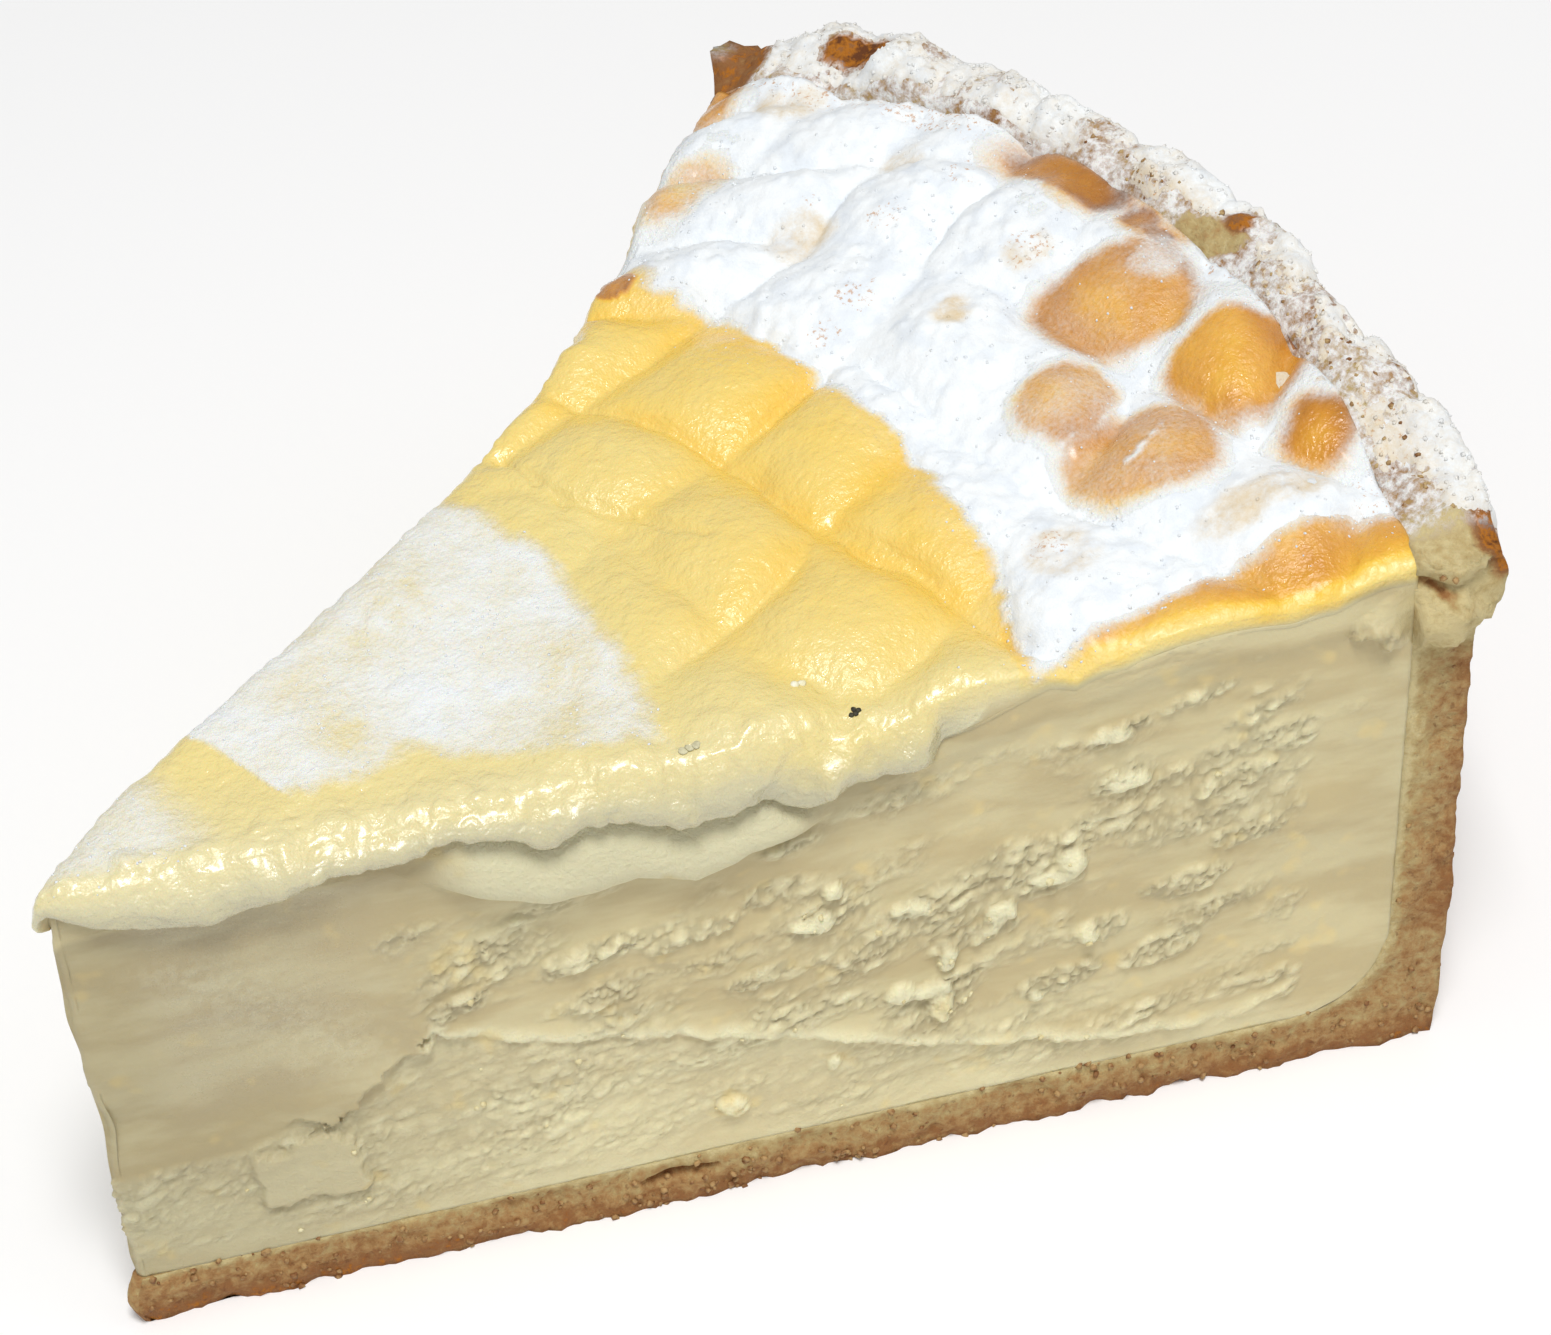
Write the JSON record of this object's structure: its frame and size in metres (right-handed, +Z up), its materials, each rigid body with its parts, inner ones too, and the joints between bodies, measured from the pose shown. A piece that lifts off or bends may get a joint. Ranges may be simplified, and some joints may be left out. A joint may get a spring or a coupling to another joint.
{
  "type": "cheesecake slice",
  "caption": "Slice of baked cheesecake: a curd wedge with a quilted, sugar-dusted top in a shortcrust pastry shell.",
  "frame": {"origin": "middle of the bounding box in plan, on the flat underside that the slice stands on", "axes": "+Z up, +X from the tip of the slice out to the pastry rim, along the middle of the slice; the cut that the picture shows faces -Y and a little -X"},
  "size_m": [0.1314, 0.1127, 0.0677],
  "materials": {
    "shortcrust": "baked shortcrust, tan to brown, dry and crumbly",
    "curd": "creamy baked curd with a glossy golden skin on top, dusted with sugar"
  },
  "bodies": {
    "root": {"pastry_shell": "shortcrust", "curd_filling": "curd"}
  },
  "joints": []
}
